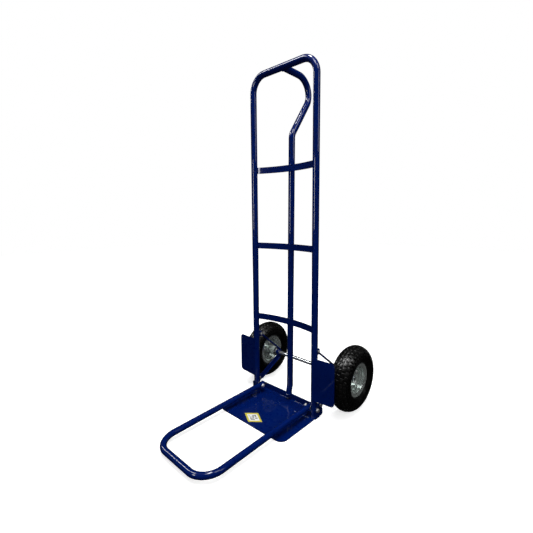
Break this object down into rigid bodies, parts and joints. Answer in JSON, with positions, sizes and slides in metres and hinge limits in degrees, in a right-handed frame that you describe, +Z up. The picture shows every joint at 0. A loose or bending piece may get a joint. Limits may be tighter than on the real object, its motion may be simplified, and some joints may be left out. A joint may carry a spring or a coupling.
{
  "type": "hand truck",
  "caption": "Steel hand truck with a P-handle, bowed slats, a solid toe plate, a folding tube toe extension, wheel guards and pneumatic wheels.",
  "frame": {"origin": "on the ground under the toe plate, midway between the two legs", "axes": "+X across the truck, -Y towards the load, +Y towards the wheels, +Z up"},
  "size_m": [0.562, 0.775, 1.33],
  "materials": {
    "frame_paint": "gloss powder coat",
    "fastener_zinc": "bright zinc",
    "axle_zinc": "bright zinc",
    "rim_zinc": "zinc plated sheet",
    "bearing_steel": "ground",
    "tyre_rubber": "moulded rubber",
    "tube_rubber": "smooth rubber",
    "valve_rubber": "smooth rubber",
    "cap_plastic": "moulded",
    "label_film": "printed film"
  },
  "bodies": {
    "frame": {"axle": "axle_zinc", "axle_brace_left": "frame_paint", "axle_brace_right": "frame_paint", "axle_collar_left": "frame_paint", "axle_collar_right": "frame_paint", "axle_spacers": "axle_zinc", "axle_washers": "axle_zinc", "brace_bolts": "fastener_zinc", "brace_nuts": "fastener_zinc", "centre_tube": "frame_paint", "frame_loop": "frame_paint", "hinge_bolts": "fastener_zinc", "hinge_nuts": "fastener_zinc", "hinge_plate_left": "frame_paint", "hinge_plate_right": "frame_paint", "hinge_washers": "fastener_zinc", "label": "label_film", "pivot_washers": "fastener_zinc", "slat_lower": "frame_paint", "slat_middle": "frame_paint", "slat_upper": "frame_paint", "split_pins": "axle_zinc", "stay_bolts": "fastener_zinc", "stay_lug_left": "frame_paint", "stay_lug_right": "frame_paint", "stay_nuts": "fastener_zinc", "toe_plate": "frame_paint", "upper_stay_left": "frame_paint", "upper_stay_right": "frame_paint", "wheel_guard_left": "frame_paint", "wheel_guard_right": "frame_paint"},
    "toe_extension": {"extension_frame": "frame_paint"},
    "wheel_left": {"bearing_balls_left": "bearing_steel", "bearing_rings_left": "bearing_steel", "clamp_bolts_left": "fastener_zinc", "clamp_nuts_left": "fastener_zinc", "hub_left": "rim_zinc", "inner_tube_left": "tube_rubber", "rim_inboard_left": "rim_zinc", "rim_outboard_left": "rim_zinc", "tyre_left": "tyre_rubber", "valve_cap_left": "cap_plastic", "valve_stem_left": "valve_rubber"},
    "wheel_right": {"bearing_balls_right": "bearing_steel", "bearing_rings_right": "bearing_steel", "clamp_bolts_right": "fastener_zinc", "clamp_nuts_right": "fastener_zinc", "hub_right": "rim_zinc", "inner_tube_right": "tube_rubber", "rim_inboard_right": "rim_zinc", "rim_outboard_right": "rim_zinc", "tyre_right": "tyre_rubber", "valve_cap_right": "cap_plastic", "valve_stem_right": "valve_rubber"}
  },
  "joints": [
    {"name": "extension_fold", "type": "hinge", "parent": "frame", "child": "toe_extension", "pos_m": [0, 0, 0.034], "axis": [-1, 0, 0], "range_deg": [0, 88]},
    {"name": "wheel_left_spin", "type": "hinge", "parent": "frame", "child": "wheel_left", "pos_m": [-0.2375, 0.147, 0.13], "axis": [1, 0, 0], "continuous": true},
    {"name": "wheel_right_spin", "type": "hinge", "parent": "frame", "child": "wheel_right", "pos_m": [0.2375, 0.147, 0.13], "axis": [1, 0, 0], "continuous": true}
  ]
}
